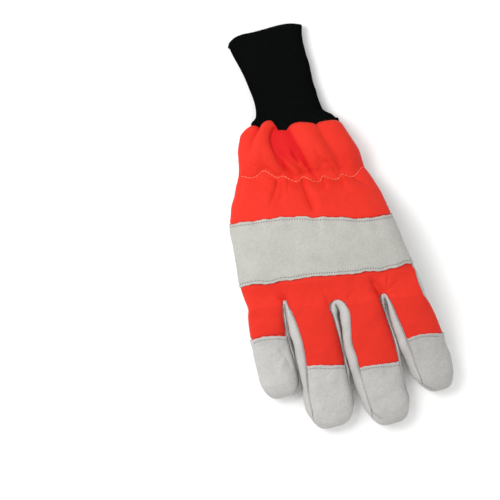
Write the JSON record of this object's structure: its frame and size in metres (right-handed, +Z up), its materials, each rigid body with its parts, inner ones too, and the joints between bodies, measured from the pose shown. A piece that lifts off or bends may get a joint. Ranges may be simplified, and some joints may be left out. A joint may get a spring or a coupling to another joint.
{
  "type": "work glove",
  "caption": "Right-hand chainsaw work glove lying palm down: orange cloth back, pale leather palm, band and fingertips, ribbed black knit cuff.",
  "frame": {"origin": "on the surface that the glove lies on, under the middle of its bounding box", "axes": "+Y from the fingertips to the open end of the cuff, +X to the index finger's side, +Z up out of the back of the hand"},
  "size_m": [0.1356, 0.286, 0.0422],
  "materials": {
    "knit": "black ribbed knit",
    "cloth": "orange-red woven nylon",
    "leather": "pale grey split leather, slightly napped"
  },
  "bodies": {
    "root": {"knit_cuff": "knit", "gathered_back": "cloth", "knuckle_band": "leather", "back_panel": "cloth", "palm": "leather", "thumb": "leather", "fingertip_little": "leather", "fingertip_ring": "leather", "fingertip_middle": "leather", "fingertip_index": "leather", "side_strip_little_ring": "leather", "side_strip_ring_middle": "leather", "side_strip_middle_index": "leather"}
  },
  "joints": []
}
